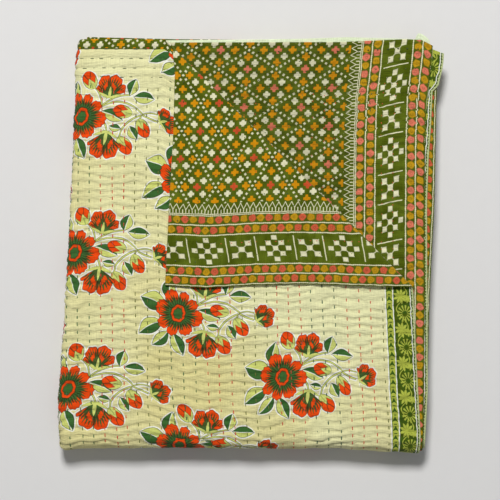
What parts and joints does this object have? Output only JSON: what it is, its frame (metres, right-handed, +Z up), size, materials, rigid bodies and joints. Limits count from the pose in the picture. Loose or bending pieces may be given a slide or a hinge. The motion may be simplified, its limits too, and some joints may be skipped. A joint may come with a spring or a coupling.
{
  "type": "folded quilted bedspread",
  "caption": "Printed cotton bedspread of two cloths held together by rows of running stitch, folded into a flat stack with one corner turned back.",
  "frame": {"origin": "on the underside of the folded stack, below the middle of its bounding box", "axes": "+Z up out of the stack, +Y along its longer side towards the hems, +X towards the side with the layered hems"},
  "size_m": [0.4828, 0.5284, 0.0496],
  "materials": {
    "front_cotton": "matt plain-weave cotton, pale yellow-green with a printed flower repeat",
    "back_cotton": "matt plain-weave cotton, dark green with a printed lattice of small crosses and a dotted border"
  },
  "bodies": {
    "root": {"front_cloth": "front_cotton", "back_cloth": "back_cotton"}
  },
  "joints": []
}
